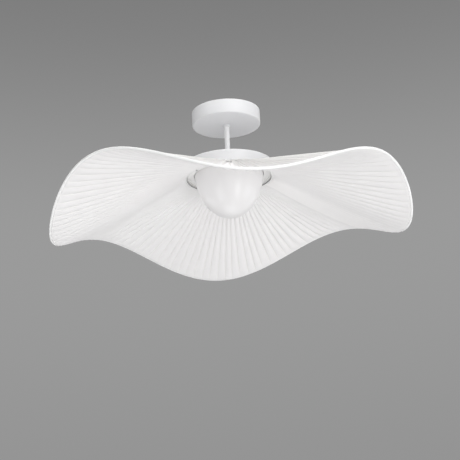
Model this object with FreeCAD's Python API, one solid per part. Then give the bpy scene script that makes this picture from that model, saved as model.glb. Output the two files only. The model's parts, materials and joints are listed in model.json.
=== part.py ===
"""Ceiling light with a waved, pleated fabric shade and an opal glass dome.

Millimetres, +Z up. The origin is where the lamp's axis meets the ceiling, so the lamp hangs below Z = 0.
Each piece is one closed solid, or a group of alike solids, in its own file in parts/.
"""
import FreeCAD, Part
import math
import os

V = FreeCAD.Vector
UP = V(0, 0, 1)

# Ceiling bracket, a stepped steel strip with a side tab for the terminals and one for the earth
BRACKET_WIDTH = 22.0
BRACKET_THICKNESS = 2.0
BRACKET_STEP = 8.0
BRACKET_FOOT = 24.0
BRACKET_LEG_RUN = 6.0
BRACKET_TO_CANOPY = 7.6
SLOT_END_MARGIN = 5.0
SLOT_LENGTH = 14.0
SLOT_WIDTH = 5.0
TERMINAL_TAB_MARGIN = 1.5
EARTH_TAB_WIDTH = 18.0
EARTH_TAB_REACH = 31.0
EARTH_SCREW_INSET = 7.0

# Terminal block with three poles
TERMINAL_POLES = 3
TERMINAL_PITCH = 9.0
TERMINAL_DEPTH = 18.0
TERMINAL_TO_CANOPY = 1.8
TERMINAL_MIDDLE_Y = 24.0
TERMINAL_WIRE_HOLE = 3.8
TERMINAL_SCREW_HOLE = 3.4
TERMINAL_SCREW_DIAMETER = 3.0
TERMINAL_SCREW_LENGTH = 3.5
TERMINAL_SCREW_SPREAD = 5.0

# Canopy and the collar that locks it against the ceiling
CANOPY_DIAMETER = 120.0
CANOPY_HEIGHT = 25.0
CANOPY_WALL = 1.2
CANOPY_EDGE_RADIUS = 2.0
COLLAR_WALL = 1.65
COLLAR_HEIGHT = 3.5
GRUB_SCREW_DIAMETER = 2.4

# Hanging rod
THREAD_DIAMETER = 8.0
THREAD_WALL = 1.25
ROD_SHOULDER = 0.5
ROD_DROP = 73.5
THREAD_SPARE = 1.5
NUT_ACROSS_FLATS = 13.0
NUT_HEIGHT = 5.0
WASHER_DIAMETER = 16.0
WASHER_THICKNESS = 1.2

# Pan that carries the shade, the lamps and the dome
PAN_HEIGHT = 19.7
PAN_WALL = 1.2
PAN_EDGE_RADIUS = 2.0
PAN_FLANGE = 11.0

# Plate with the lampholders and the glass clips
PLATE_TO_GLASS = 5.5
PLATE_THICKNESS = 1.2
PLATE_HOLE_DIAMETER = 24.0
PLATE_SCREW_TO_CLIP = 0.4
LAMP_COUNT = 3
LAMP_CIRCLE = 52.0
LAMP_START_ANGLE = 90.0
HOLDER_DIAMETER = 18.0
HOLDER_HEIGHT = 16.0
HOLDER_FOOT_LENGTH = 32.0
HOLDER_FOOT_WIDTH = 10.0
HOLDER_FOOT_HEIGHT = 2.0
HOLDER_SCREW_SPACING = 25.0
PIN_SPACING = 9.0
PIN_DIAMETER = 1.0
PIN_LENGTH = 12.0
PIN_HOLE_DIAMETER = 1.6
PIN_HOLE_SPARE = 1.5
BULB_BASE_DIAMETER = 15.0
BULB_BASE_HEIGHT = 12.0
BULB_DIAMETER = 14.0
BULB_LENGTH = 36.0

# Spring clips inside the neck of the glass
CLIP_WIDTH = 12.0
CLIP_THICKNESS = 0.6
CLIP_FOOT = 13.0
CLIP_LEAF = 14.0
CLIP_KICK = 3.0
RIVET_DIAMETER = 4.0
RIVET_HEAD_DIAMETER = 6.0
RIVET_HEAD_HEIGHT = 1.0

# Opal glass dome, a straight neck and half an ellipsoid in bands of equal height
DOME_DIAMETER = 120.0
DOME_WALL = 2.5
DOME_NECK = 8.3
DOME_DEPTH = 85.0
DOME_GAP = 13.4
DOME_BANDS = 5
GASKET_THICKNESS = 2.0
GASKET_OVERHANG = 0.4
LIP_THICKNESS = 0.8
LIP_TO_GASKET = 0.6

# Wire frame of the shade
FRAME_RING_WIDTH = 4.5
FRAME_RING_THICKNESS = 2.0
HOOP_DIAMETER = 610.0
HOOP_WIRE = 2.5
SPOKE_WIRE = 2.0
SPOKE_COUNT = 8
RIM_BELOW_FRAME = 73.5

# Waves of the rim: four main ones, and once, twice, three and six times round. Angles are of a crest
MAIN_WAVES = 4
MAIN_WAVE_HEIGHT = 30.8
MAIN_WAVE_ANGLE = 50.8
LEAN_HEIGHT = 5.8
LEAN_ANGLE = -71.0
SWAY_HEIGHT = 4.1
SWAY_ANGLE = 39.4
TURN_HEIGHT = 1.1
TURN_ANGLE = 4.2
RIPPLE_HEIGHT = 1.1
RIPPLE_ANGLE = 30.1
HOOP_SECTIONS = 96
SLOPE_STEP = math.radians(0.5)

# Pleated fabric and its binding
BINDING_WALL = 0.7
BINDING_CLEARANCE = 0.2
PLEAT_COUNT = 120
PLEAT_LEAN = 0.7
PLEAT_HEIGHT_AT_HUB = 0.8
PLEAT_HEIGHT_AT_RIM = 2.0
FABRIC_THICKNESS = 0.8
FABRIC_TUCK = 0.5
TRIM_RING_WIDTH = 3.6
TRIM_RING_THICKNESS = 2.0
TRIM_SCREW_COUNT = 4
TRIM_SCREW_START_ANGLE = 45.0

# Fasteners: shank diameter, head diameter and head height
PLATE_SCREW = (4.0, 7.0, 2.2)
HOLDER_SCREW = (3.0, 5.5, 1.8)
EARTH_SCREW = (4.0, 7.0, 2.5)
BLOCK_SCREW = (3.0, 5.2, 1.6)
TRIM_SCREW = (2.0, 3.4, 1.3)

# Clearances and the tolerance that strips are sewn to
SCREW_CLEARANCE = 0.1
COLLAR_CLEARANCE = 0.05
SWIVEL_CLEARANCE = 0.1
SLIDE_CLEARANCE = 0.3
SOFT_CLEARANCE = 0.3
WELD_GAP = 0.2
SEW_TOLERANCE = 1e-5

# Places and heights worked out from the sizes above
EARTH_SCREW_Y = EARTH_SCREW_INSET - EARTH_TAB_REACH
BRIDGE_TOP = -BRACKET_STEP
BRIDGE_BOTTOM = BRIDGE_TOP - BRACKET_THICKNESS
ROD_TOP_SHOULDER = BRIDGE_BOTTOM - WASHER_THICKNESS
THREAD_TOP = BRIDGE_TOP + NUT_HEIGHT + THREAD_SPARE / 2
TERMINAL_BOTTOM = CANOPY_WALL + TERMINAL_TO_CANOPY - CANOPY_HEIGHT
PAN_TOP = -(CANOPY_HEIGHT + ROD_DROP)
PAN_CEILING = PAN_TOP - PAN_WALL
PAN_BOTTOM = PAN_TOP - PAN_HEIGHT
ROD_BOTTOM_SHOULDER = PAN_TOP + WASHER_THICKNESS
PAN_NUT_TOP = PAN_CEILING - WASHER_THICKNESS
THREAD_BOTTOM = PAN_NUT_TOP - NUT_HEIGHT - THREAD_SPARE
PLATE_BOTTOM = PAN_CEILING - PLATE_THICKNESS
HOLDER_MOUTH = PLATE_BOTTOM - HOLDER_HEIGHT
GLASS_TOP = PAN_CEILING - GASKET_THICKNESS
DOME_EQUATOR = GLASS_TOP - DOME_NECK
FRAME_RING_BOTTOM = PAN_BOTTOM - FRAME_RING_THICKNESS
FRAME_MIDDLE = PAN_BOTTOM - FRAME_RING_THICKNESS / 2
FABRIC_HUB_Z = FRAME_RING_BOTTOM - SOFT_CLEARANCE - (PLEAT_HEIGHT_AT_HUB + FABRIC_THICKNESS) / 2
TRIM_RING_TOP = FABRIC_HUB_Z - (PLEAT_HEIGHT_AT_HUB + FABRIC_THICKNESS) / 2 - 2 * SOFT_CLEARANCE

# Radii worked out from the sizes above
CANOPY_RADIUS = CANOPY_DIAMETER / 2
BRACKET_HALF = math.sqrt((CANOPY_RADIUS - CANOPY_WALL - BRACKET_TO_CANOPY) ** 2 - (BRACKET_WIDTH / 2) ** 2)
SLOT_X = BRACKET_HALF - SLOT_END_MARGIN - SLOT_LENGTH / 2
THREAD_RADIUS = THREAD_DIAMETER / 2
BORE_RADIUS = THREAD_RADIUS - THREAD_WALL
ROD_RADIUS = THREAD_RADIUS + ROD_SHOULDER
COLLAR_BORE = ROD_RADIUS + COLLAR_CLEARANCE
COLLAR_RADIUS = COLLAR_BORE + COLLAR_WALL
DOME_RADIUS = DOME_DIAMETER / 2
GLASS_INNER = DOME_RADIUS - DOME_WALL
TRIM_RING_INNER = DOME_RADIUS + DOME_GAP
PAN_RADIUS = TRIM_RING_INNER + TRIM_RING_WIDTH
HOOP_RADIUS = HOOP_DIAMETER / 2
WIRE_RADIUS = HOOP_WIRE / 2
SPOKE_RADIUS = SPOKE_WIRE / 2
BINDING_INNER = max(WIRE_RADIUS, SPOKE_RADIUS) + BINDING_CLEARANCE
BINDING_OUTER = BINDING_INNER + BINDING_WALL
BINDING_HALF_SLOT = math.asin((SPOKE_RADIUS + BINDING_CLEARANCE / 2) / BINDING_INNER)
TRIM_SCREW_RADIUS = PAN_RADIUS - TRIM_RING_WIDTH / 2
FABRIC_HUB_RADIUS = PAN_RADIUS - FABRIC_TUCK
FABRIC_RIM_RADIUS = HOOP_RADIUS - BINDING_OUTER - 2 * SOFT_CLEARANCE
FABRIC_RIM_DROP = SPOKE_RADIUS + SOFT_CLEARANCE + (PLEAT_HEIGHT_AT_RIM + FABRIC_THICKNESS) / 2


def cylinder(radius, low, high, x=0.0, y=0.0):
    """Upright cylinder between two heights."""
    return Part.makeCylinder(radius, high - low, V(x, y, low))


def ring(inner, outer, low, high):
    """Upright ring between two heights."""
    return cylinder(outer, low, high).cut(cylinder(inner, low, high))


def block(x0, x1, y0, y1, z0, z1):
    """Box between two corners."""
    return Part.makeBox(x1 - x0, y1 - y0, z1 - z0, V(x0, y0, z0))


def turned(shape, angle):
    """A copy of the shape, turned about the lamp's axis by an angle in degrees."""
    copy = shape.copy()
    copy.rotate(V(0, 0, 0), UP, angle)
    return copy


def spread(shape, count, start):
    """Copies of the shape, evenly spaced about the lamp's axis."""
    return [turned(shape, start + 360.0 * i / count) for i in range(count)]


def revolved(edges):
    """Solid of a closed outline of edges in the XZ plane, turned about the lamp's axis."""
    return Part.Face(Part.Wire(edges)).revolve(V(0, 0, 0), UP, 360)


def line(a, b):
    return Part.LineSegment(a, b).toShape()


def hexagon_nut(low, high):
    """Hexagon nut on the rod's thread."""
    corner = NUT_ACROSS_FLATS / math.sqrt(3)
    turns = [math.radians(60 * i) for i in range(7)]
    points = [V(corner * math.cos(turn), corner * math.sin(turn), low) for turn in turns]
    body = Part.Face(Part.makePolygon(points)).extrude(V(0, 0, high - low))
    return body.cut(cylinder(THREAD_RADIUS + COLLAR_CLEARANCE, low, high))


def screw_from_below(sizes, seat, tip, x=0.0, y=0.0):
    """Screw with its head under the seat height and its shank up to the tip height."""
    shank, head, head_height = sizes
    cap = cylinder(head / 2, seat - head_height, seat, x, y)
    return cap.fuse(cylinder(shank / 2, seat, tip, x, y)).removeSplitter()


def screw_hole(sizes, low, high, x=0.0, y=0.0):
    """Clearance hole for a screw."""
    return cylinder(sizes[0] / 2 + SCREW_CLEARANCE, low, high, x, y)


def slot(x, length, width, low, high):
    """Upright slot with round ends, along X."""
    half = (length - width) / 2
    ends = [cylinder(width / 2, low, high, x + side * half) for side in (-1, 1)]
    return block(x - half, x + half, -width / 2, width / 2, low, high).fuse(ends)


def terminal_half_width():
    return TERMINAL_POLES * TERMINAL_PITCH / 2


def terminal_fixing_x():
    return TERMINAL_PITCH / 2


def ceiling_bracket():
    """Strip with two feet on the ceiling, sloped legs and a lowered bridge, with a tab each side."""
    foot, t = BRACKET_HALF, BRACKET_THICKNESS
    knee = foot - BRACKET_FOOT
    bridge = knee - BRACKET_LEG_RUN
    upper = [(-foot, 0), (-knee, 0), (-bridge, BRIDGE_TOP), (bridge, BRIDGE_TOP), (knee, 0), (foot, 0)]
    outline = upper + [(x, z - t) for x, z in reversed(upper)]
    points = [V(x, -BRACKET_WIDTH / 2, z) for x, z in outline + outline[:1]]
    strip = Part.Face(Part.makePolygon(points)).extrude(V(0, BRACKET_WIDTH, 0))
    half = terminal_half_width() + TERMINAL_TAB_MARGIN
    reach = TERMINAL_MIDDLE_Y + TERMINAL_DEPTH / 2 + TERMINAL_TAB_MARGIN
    terminal_tab = block(-half, half, 0, reach, BRIDGE_BOTTOM, BRIDGE_TOP)
    earth_half = EARTH_TAB_WIDTH / 2
    earth_tab = block(-earth_half, earth_half, -EARTH_TAB_REACH, 0, BRIDGE_BOTTOM, BRIDGE_TOP)
    cuts = [slot(side * SLOT_X, SLOT_LENGTH, SLOT_WIDTH, -t, 0) for side in (-1, 1)]
    cuts.append(cylinder(THREAD_RADIUS + SCREW_CLEARANCE, BRIDGE_BOTTOM, BRIDGE_TOP))
    cuts.append(screw_hole(EARTH_SCREW, BRIDGE_BOTTOM, BRIDGE_TOP, 0, EARTH_SCREW_Y))
    cuts.append(screw_hole(BLOCK_SCREW, BRIDGE_BOTTOM, BRIDGE_TOP, terminal_fixing_x(), TERMINAL_MIDDLE_Y))
    return strip.fuse([terminal_tab, earth_tab]).removeSplitter().cut(cuts)


def terminal_places():
    """Where the wire screws of the terminal block are, two for each pole."""
    first = -(TERMINAL_POLES - 1) / 2
    columns = [(first + i) * TERMINAL_PITCH for i in range(TERMINAL_POLES)]
    rows = [TERMINAL_MIDDLE_Y + side * TERMINAL_SCREW_SPREAD for side in (-1, 1)]
    return columns, rows


def terminal_block():
    """Moulded block under the bracket's tab, with a wire way and two screw wells for each pole."""
    half, low = terminal_half_width(), TERMINAL_BOTTOM
    near, far = TERMINAL_MIDDLE_Y - TERMINAL_DEPTH / 2, TERMINAL_MIDDLE_Y + TERMINAL_DEPTH / 2
    middle = (BRIDGE_BOTTOM + TERMINAL_BOTTOM) / 2
    columns, rows = terminal_places()
    cuts = []
    for x in columns:
        cuts.append(Part.makeCylinder(TERMINAL_WIRE_HOLE / 2, TERMINAL_DEPTH, V(x, near, middle), V(0, 1, 0)))
        cuts += [cylinder(TERMINAL_SCREW_HOLE / 2, low, middle, x, y) for y in rows]
    _, head, head_height = BLOCK_SCREW
    x, y = terminal_fixing_x(), TERMINAL_MIDDLE_Y
    cuts.append(screw_hole(BLOCK_SCREW, low, BRIDGE_BOTTOM, x, y))
    cuts.append(cylinder(head / 2 + SCREW_CLEARANCE, low, low + head_height, x, y))
    return block(-half, half, near, far, low, BRIDGE_BOTTOM).cut(cuts)


def terminal_screws():
    low = TERMINAL_BOTTOM + SCREW_CLEARANCE
    columns, rows = terminal_places()
    radius = TERMINAL_SCREW_DIAMETER / 2
    return [cylinder(radius, low, low + TERMINAL_SCREW_LENGTH, x, y) for x in columns for y in rows]


def terminal_fixing_screw():
    seat = TERMINAL_BOTTOM + BLOCK_SCREW[2]
    return screw_from_below(BLOCK_SCREW, seat, BRIDGE_TOP, terminal_fixing_x(), TERMINAL_MIDDLE_Y)


def earth_screw():
    return screw_from_below(EARTH_SCREW, BRIDGE_BOTTOM, BRIDGE_TOP + BRACKET_THICKNESS, 0, EARTH_SCREW_Y)


def rod():
    """Tube with a shoulder and a thread at each end, bored right through for the wires."""
    body = cylinder(ROD_RADIUS, ROD_BOTTOM_SHOULDER, ROD_TOP_SHOULDER)
    threads = cylinder(THREAD_RADIUS, THREAD_BOTTOM, THREAD_TOP)
    return body.fuse(threads).removeSplitter().cut(cylinder(BORE_RADIUS, THREAD_BOTTOM, THREAD_TOP))


def hanger_nut():
    return hexagon_nut(BRIDGE_TOP, BRIDGE_TOP + NUT_HEIGHT)


def pan_nut():
    return hexagon_nut(PAN_NUT_TOP - NUT_HEIGHT, PAN_NUT_TOP)


def rod_washers():
    """Washers under the bracket, on the pan and under the pan's ceiling."""
    inner = THREAD_RADIUS + COLLAR_CLEARANCE
    tops = (BRIDGE_BOTTOM, ROD_BOTTOM_SHOULDER, PAN_CEILING)
    return [ring(inner, WASHER_DIAMETER / 2, top - WASHER_THICKNESS, top) for top in tops]


def canopy():
    """Drawn cup, open at the ceiling, with a rounded lower edge and a hole for the rod."""
    outer = cylinder(CANOPY_RADIUS, -CANOPY_HEIGHT, 0)
    edge = [e for e in outer.Edges if abs(e.BoundBox.ZMax + CANOPY_HEIGHT) < 1e-6 and e.Closed]
    outer = outer.makeFillet(CANOPY_EDGE_RADIUS, edge)
    inner = cylinder(CANOPY_RADIUS - CANOPY_WALL, CANOPY_WALL - CANOPY_HEIGHT, 0)
    edge = [e for e in inner.Edges if abs(e.BoundBox.ZMax + CANOPY_HEIGHT - CANOPY_WALL) < 1e-6 and e.Closed]
    inner = inner.makeFillet(max(CANOPY_EDGE_RADIUS - CANOPY_WALL, CANOPY_WALL / 4), edge)
    hole = cylinder(ROD_RADIUS + SLIDE_CLEARANCE, -CANOPY_HEIGHT, 0)
    return outer.cut([inner, hole])


def grub_screw_hole(radius, start, length):
    """Cross hole in the collar, on its far side."""
    return Part.makeCylinder(radius, length, V(0, start, -CANOPY_HEIGHT - COLLAR_HEIGHT / 2), V(0, 1, 0))


def canopy_collar():
    body = ring(COLLAR_BORE, COLLAR_RADIUS, -CANOPY_HEIGHT - COLLAR_HEIGHT, -CANOPY_HEIGHT)
    return body.cut(grub_screw_hole(GRUB_SCREW_DIAMETER / 2 + COLLAR_CLEARANCE, 0, 2 * COLLAR_RADIUS))


def collar_grub_screw():
    start = ROD_RADIUS + SWIVEL_CLEARANCE
    return grub_screw_hole(GRUB_SCREW_DIAMETER / 2, start, COLLAR_RADIUS - SCREW_CLEARANCE - start)


def trim_screw_holes(low, high):
    hole = screw_hole(TRIM_SCREW, low, high, TRIM_SCREW_RADIUS)
    return spread(hole, TRIM_SCREW_COUNT, TRIM_SCREW_START_ANGLE)


def plate_screw_holes(low, high):
    return spread(screw_hole(PLATE_SCREW, low, high, plate_screw_radius()), LAMP_COUNT, clip_angle())


def pan():
    """Inverted dish with a rounded upper edge and a flange turned in at the bottom."""
    outer = cylinder(PAN_RADIUS, PAN_BOTTOM, PAN_TOP)
    edge = [e for e in outer.Edges if abs(e.BoundBox.ZMin - PAN_TOP) < 1e-6 and e.Closed]
    outer = outer.makeFillet(PAN_EDGE_RADIUS, edge)
    inner = cylinder(PAN_RADIUS - PAN_WALL, PAN_BOTTOM + PAN_WALL, PAN_CEILING)
    mouth = cylinder(PAN_RADIUS - PAN_FLANGE, PAN_BOTTOM, PAN_BOTTOM + PAN_WALL)
    hole = cylinder(THREAD_RADIUS + SWIVEL_CLEARANCE, PAN_CEILING, PAN_TOP)
    cuts = [inner, mouth, hole]
    cuts += trim_screw_holes(PAN_BOTTOM, PAN_BOTTOM + PAN_WALL)
    cuts += plate_screw_holes(PAN_CEILING, PAN_TOP)
    return outer.cut(cuts)


def clip_angle():
    """The clips and the plate's screws stand between the lamps."""
    return LAMP_START_ANGLE + 180.0 / LAMP_COUNT


def clip_face():
    """Distance of the clip's flat leaf from the axis, so that its corners clear the glass."""
    room = GLASS_INNER - SOFT_CLEARANCE
    return math.sqrt(room ** 2 - (CLIP_WIDTH / 2) ** 2)


def plate_screw_radius():
    return clip_face() - CLIP_FOOT - PLATE_SCREW_TO_CLIP - PLATE_SCREW[1] / 2


def rivet_radius():
    return clip_face() - CLIP_FOOT + RIVET_HEAD_DIAMETER / 2 + 2 * CLIP_THICKNESS


def holder_screw_places():
    return [(LAMP_CIRCLE / 2, side * HOLDER_SCREW_SPACING / 2) for side in (-1, 1)]


def holder_screw_holes(low, high):
    holes = [screw_hole(HOLDER_SCREW, low, high, x, y) for x, y in holder_screw_places()]
    return [h for hole in holes for h in spread(hole, LAMP_COUNT, LAMP_START_ANGLE)]


def lamp_plate():
    """Flat disc under the pan's ceiling that carries the lampholders and the clips."""
    cuts = plate_screw_holes(PLATE_BOTTOM, PAN_CEILING) + holder_screw_holes(PLATE_BOTTOM, PAN_CEILING)
    rivet = cylinder(RIVET_DIAMETER / 2 + COLLAR_CLEARANCE, PLATE_BOTTOM, PAN_CEILING, rivet_radius())
    cuts += spread(rivet, LAMP_COUNT, clip_angle())
    outer = GLASS_INNER - PLATE_TO_GLASS
    return ring(PLATE_HOLE_DIAMETER / 2, outer, PLATE_BOTTOM, PAN_CEILING).cut(cuts)


def plate_screws():
    screw = screw_from_below(PLATE_SCREW, PLATE_BOTTOM, PAN_TOP, plate_screw_radius())
    return spread(screw, LAMP_COUNT, clip_angle())


def pin_places():
    return [(LAMP_CIRCLE / 2, side * PIN_SPACING / 2) for side in (-1, 1)]


def lampholder():
    """Ceramic push-in holder with a foot for two screws and two pin holes in its mouth."""
    x = LAMP_CIRCLE / 2
    wide, long = HOLDER_FOOT_WIDTH / 2, HOLDER_FOOT_LENGTH / 2
    foot = block(x - wide, x + wide, -long, long, PLATE_BOTTOM - HOLDER_FOOT_HEIGHT, PLATE_BOTTOM)
    body = cylinder(HOLDER_DIAMETER / 2, HOLDER_MOUTH, PLATE_BOTTOM, x).fuse(foot).removeSplitter()
    depth = PIN_LENGTH + PIN_HOLE_SPARE
    radius, foot_bottom = PIN_HOLE_DIAMETER / 2, PLATE_BOTTOM - HOLDER_FOOT_HEIGHT
    cuts = [cylinder(radius, HOLDER_MOUTH, HOLDER_MOUTH + depth, px, py) for px, py in pin_places()]
    cuts += [screw_hole(HOLDER_SCREW, foot_bottom, PLATE_BOTTOM, px, py) for px, py in holder_screw_places()]
    return body.cut(cuts)


def holder_screws():
    screws = [screw_from_below(HOLDER_SCREW, PLATE_BOTTOM - HOLDER_FOOT_HEIGHT, PAN_CEILING, x, y)
              for x, y in holder_screw_places()]
    return [s for screw in screws for s in spread(screw, LAMP_COUNT, LAMP_START_ANGLE)]


def bulb():
    """Push-in lamp: a wider base and a capsule with a round end."""
    top = HOLDER_MOUTH - SOFT_CLEARANCE
    base, radius = BULB_BASE_DIAMETER / 2, BULB_DIAMETER / 2
    shoulder, crown = top - BULB_BASE_HEIGHT, top - BULB_LENGTH + radius
    end = V(radius * math.sin(math.pi / 4), 0, crown - radius * math.cos(math.pi / 4))
    corners = [V(0, 0, top), V(base, 0, top), V(base, 0, shoulder)]
    corners += [V(radius, 0, shoulder), V(radius, 0, crown)]
    low = V(0, 0, crown - radius)
    edges = [line(a, b) for a, b in zip(corners, corners[1:])]
    edges += [Part.Arc(corners[-1], end, low).toShape(), line(low, corners[0])]
    capsule = revolved(edges)
    capsule.translate(V(LAMP_CIRCLE / 2, 0, 0))
    return capsule


def bulb_pins():
    low = HOLDER_MOUTH - SOFT_CLEARANCE
    return [cylinder(PIN_DIAMETER / 2, low, low + PIN_LENGTH, x, y) for x, y in pin_places()]


def glass_clip():
    """Bent spring strip: a foot under the plate, a leaf down the glass and a tip turned in."""
    face, t = clip_face(), CLIP_THICKNESS
    top = PLATE_BOTTOM
    low = top - CLIP_LEAF
    outer = [(face - CLIP_FOOT, top), (face, top), (face, low), (face - CLIP_KICK, low - CLIP_KICK)]
    inner = [(face - CLIP_KICK - t, low - CLIP_KICK + t / 2), (face - t, low + t / 2), (face - t, top - t),
             (face - CLIP_FOOT, top - t)]
    points = [V(x, -CLIP_WIDTH / 2, z) for x, z in outer + inner + outer[:1]]
    strip = Part.Face(Part.makePolygon(points)).extrude(V(0, CLIP_WIDTH, 0))
    return strip.cut(cylinder(RIVET_DIAMETER / 2 + COLLAR_CLEARANCE, top - t, top, rivet_radius()))


def clip_rivets():
    sizes = (RIVET_DIAMETER, RIVET_HEAD_DIAMETER, RIVET_HEAD_HEIGHT)
    rivet = screw_from_below(sizes, PLATE_BOTTOM - CLIP_THICKNESS, PAN_CEILING, rivet_radius())
    return spread(rivet, LAMP_COUNT, clip_angle())


def dome_outline(radius, depth):
    """Neck line and quarter ellipse of one face of the glass. Bands end at equal heights on both faces."""
    centre = V(0, 0, DOME_EQUATOR)
    side = centre + V(radius, 0, 0)
    ellipse = Part.Ellipse(centre - V(0, 0, depth), side, centre)
    band = (DOME_DEPTH - DOME_WALL) / DOME_BANDS
    drops = [band * i for i in range(DOME_BANDS)] + [depth]
    turns = [math.acos(drop / depth) for drop in drops]
    arcs = [Part.ArcOfEllipse(ellipse, low, high).toShape() for high, low in zip(turns, turns[1:])]
    return [line(V(radius, 0, GLASS_TOP), side)] + arcs


def glass_dome():
    """Opal glass, open at the top."""
    inner_depth = DOME_DEPTH - DOME_WALL
    edges = dome_outline(DOME_RADIUS, DOME_DEPTH) + dome_outline(GLASS_INNER, inner_depth)
    edges.append(line(V(GLASS_INNER, 0, GLASS_TOP), V(DOME_RADIUS, 0, GLASS_TOP)))
    edges.append(line(V(0, 0, DOME_EQUATOR - inner_depth), V(0, 0, DOME_EQUATOR - DOME_DEPTH)))
    return revolved(Part.__sortEdges__(edges))


def dome_gasket():
    """Silicone ring between the glass and the pan's ceiling."""
    return ring(GLASS_INNER, DOME_RADIUS + GASKET_OVERHANG, GLASS_TOP, PAN_CEILING)


def dust_lip():
    """Soft ring under the pan's flange that closes the gap round the glass."""
    inner = DOME_RADIUS + GASKET_OVERHANG + LIP_TO_GASKET
    outer = PAN_RADIUS - FRAME_RING_WIDTH - SOFT_CLEARANCE
    return ring(inner, outer, PAN_BOTTOM - LIP_THICKNESS, PAN_BOTTOM)


def frame_ring():
    """Flat ring under the pan's flange that the spokes are welded to."""
    body = ring(PAN_RADIUS - FRAME_RING_WIDTH, PAN_RADIUS, FRAME_RING_BOTTOM, PAN_BOTTOM)
    return body.cut(trim_screw_holes(FRAME_RING_BOTTOM, PAN_BOTTOM))


def trim_ring():
    """Flat ring that holds the fabric's inner edge from below."""
    low = TRIM_RING_TOP - TRIM_RING_THICKNESS
    return ring(TRIM_RING_INNER, PAN_RADIUS, low, TRIM_RING_TOP).cut(trim_screw_holes(low, TRIM_RING_TOP))


def trim_screws():
    seat = TRIM_RING_TOP - TRIM_RING_THICKNESS
    screw = screw_from_below(TRIM_SCREW, seat, PAN_BOTTOM + PAN_WALL, TRIM_SCREW_RADIUS)
    return spread(screw, TRIM_SCREW_COUNT, TRIM_SCREW_START_ANGLE)


def rim_height(angle):
    """Height of the hoop's wire at an angle in radians."""
    def wave(count, height, crest):
        return height * math.cos(count * (angle - math.radians(crest)))

    main = wave(MAIN_WAVES, MAIN_WAVE_HEIGHT, MAIN_WAVE_ANGLE)
    uneven = wave(1, LEAN_HEIGHT, LEAN_ANGLE) + wave(2, SWAY_HEIGHT, SWAY_ANGLE)
    small = wave(3, TURN_HEIGHT, TURN_ANGLE) + wave(6, RIPPLE_HEIGHT, RIPPLE_ANGLE)
    return FRAME_MIDDLE - RIM_BELOW_FRAME + main + uneven + small


def rim_point(angle):
    return V(HOOP_RADIUS * math.cos(angle), HOOP_RADIUS * math.sin(angle), rim_height(angle))


def rim_frame(angle):
    """Point on the hoop, the way to the hub along the shade, and the shade's upward normal there."""
    point = rim_point(angle)
    along = (rim_point(angle + SLOPE_STEP) - rim_point(angle - SLOPE_STEP)).normalize()
    hub = V(PAN_RADIUS * math.cos(angle), PAN_RADIUS * math.sin(angle), FRAME_MIDDLE) - point
    inward = (hub - along * hub.dot(along)).normalize()
    return point, inward, inward.cross(along).normalize()


def closed_ring(sections):
    """Solid of ruled strips between section wires that go once round and meet the first again."""
    strips = [Part.makeLoft([a, b], False, True) for a, b in zip(sections, sections[1:] + sections[:1])]
    shell = Part.makeCompound([f for strip in strips for f in strip.Faces])
    shell.sewShape()
    solid = Part.Solid(shell.Shells[0])
    solid.fix(SEW_TOLERANCE, SEW_TOLERANCE, SEW_TOLERANCE)
    return solid


def hoop_angles():
    return [2 * math.pi * i / HOOP_SECTIONS for i in range(HOOP_SECTIONS)]


def rim_hoop():
    """Waved wire hoop, round in plan."""
    sections = []
    for angle in hoop_angles():
        point, inward, normal = rim_frame(angle)
        circle = Part.Circle(point, inward.cross(normal), WIRE_RADIUS)
        circle.XAxis = inward
        sections.append(Part.Wire(circle.toShape()))
    return closed_ring(sections)


def rim_binding():
    """Tape bound round the hoop, open towards the hub for the spokes."""
    wrap = 2 * math.pi - 2 * BINDING_HALF_SLOT
    turns = [BINDING_HALF_SLOT + wrap * i / 4 for i in range(5)]
    sections = []
    for angle in hoop_angles():
        point, inward, normal = rim_frame(angle)

        def at(radius, turn):
            return point + inward * (radius * math.cos(turn)) + normal * (radius * math.sin(turn))

        outer = [at(BINDING_OUTER, turn) for turn in turns]
        inner = [at(BINDING_INNER, turn) for turn in reversed(turns)]
        edges = [Part.Arc(*outer[:3]), Part.Arc(*outer[2:]), Part.LineSegment(outer[4], inner[0]),
                 Part.Arc(*inner[:3]), Part.Arc(*inner[2:]), Part.LineSegment(inner[4], outer[0])]
        sections.append(Part.Wire([e.toShape() for e in edges]))
    return closed_ring(sections)


def spoke_angle(index):
    """Spokes stand at the waves' crests and troughs."""
    return math.radians(MAIN_WAVE_ANGLE + 360.0 * index / SPOKE_COUNT)


def spoke(index):
    """Straight wire from the frame ring to the hoop."""
    angle = spoke_angle(index)
    point = rim_point(angle)
    start_radius = PAN_RADIUS + SPOKE_RADIUS / 2 + WELD_GAP
    hub = V(start_radius * math.cos(angle), start_radius * math.sin(angle), FRAME_MIDDLE)
    run = hub - point
    tip = point + run * ((WIRE_RADIUS + WELD_GAP) / run.Length)
    return Part.makeCylinder(SPOKE_RADIUS, (hub - tip).Length, tip, run)


def pleat_wire(radius, height_at, pleat_height):
    """Closed zigzag round the axis, with a ridge and a valley for each pleat."""
    points = []
    for i in range(PLEAT_COUNT):
        for share, side in ((0.0, -0.5), (PLEAT_LEAN, 0.5)):
            angle = 2 * math.pi * (i + share) / PLEAT_COUNT
            z = height_at(angle) + side * pleat_height
            points.append(V(radius * math.cos(angle), radius * math.sin(angle), z))
    return Part.makePolygon(points + points[:1])


def pleated_shade():
    """Pleated cloth in straight pleats from under the pan to the bound rim."""

    def hub_wire(offset):
        return pleat_wire(FABRIC_HUB_RADIUS, lambda angle: FABRIC_HUB_Z + offset, PLEAT_HEIGHT_AT_HUB)

    def rim_wire(offset):
        middle = offset - FABRIC_RIM_DROP
        return pleat_wire(FABRIC_RIM_RADIUS, lambda angle: rim_height(angle) + middle, PLEAT_HEIGHT_AT_RIM)

    half = FABRIC_THICKNESS / 2
    return closed_ring([hub_wire(half), rim_wire(half), rim_wire(-half), hub_wire(-half)])


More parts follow.
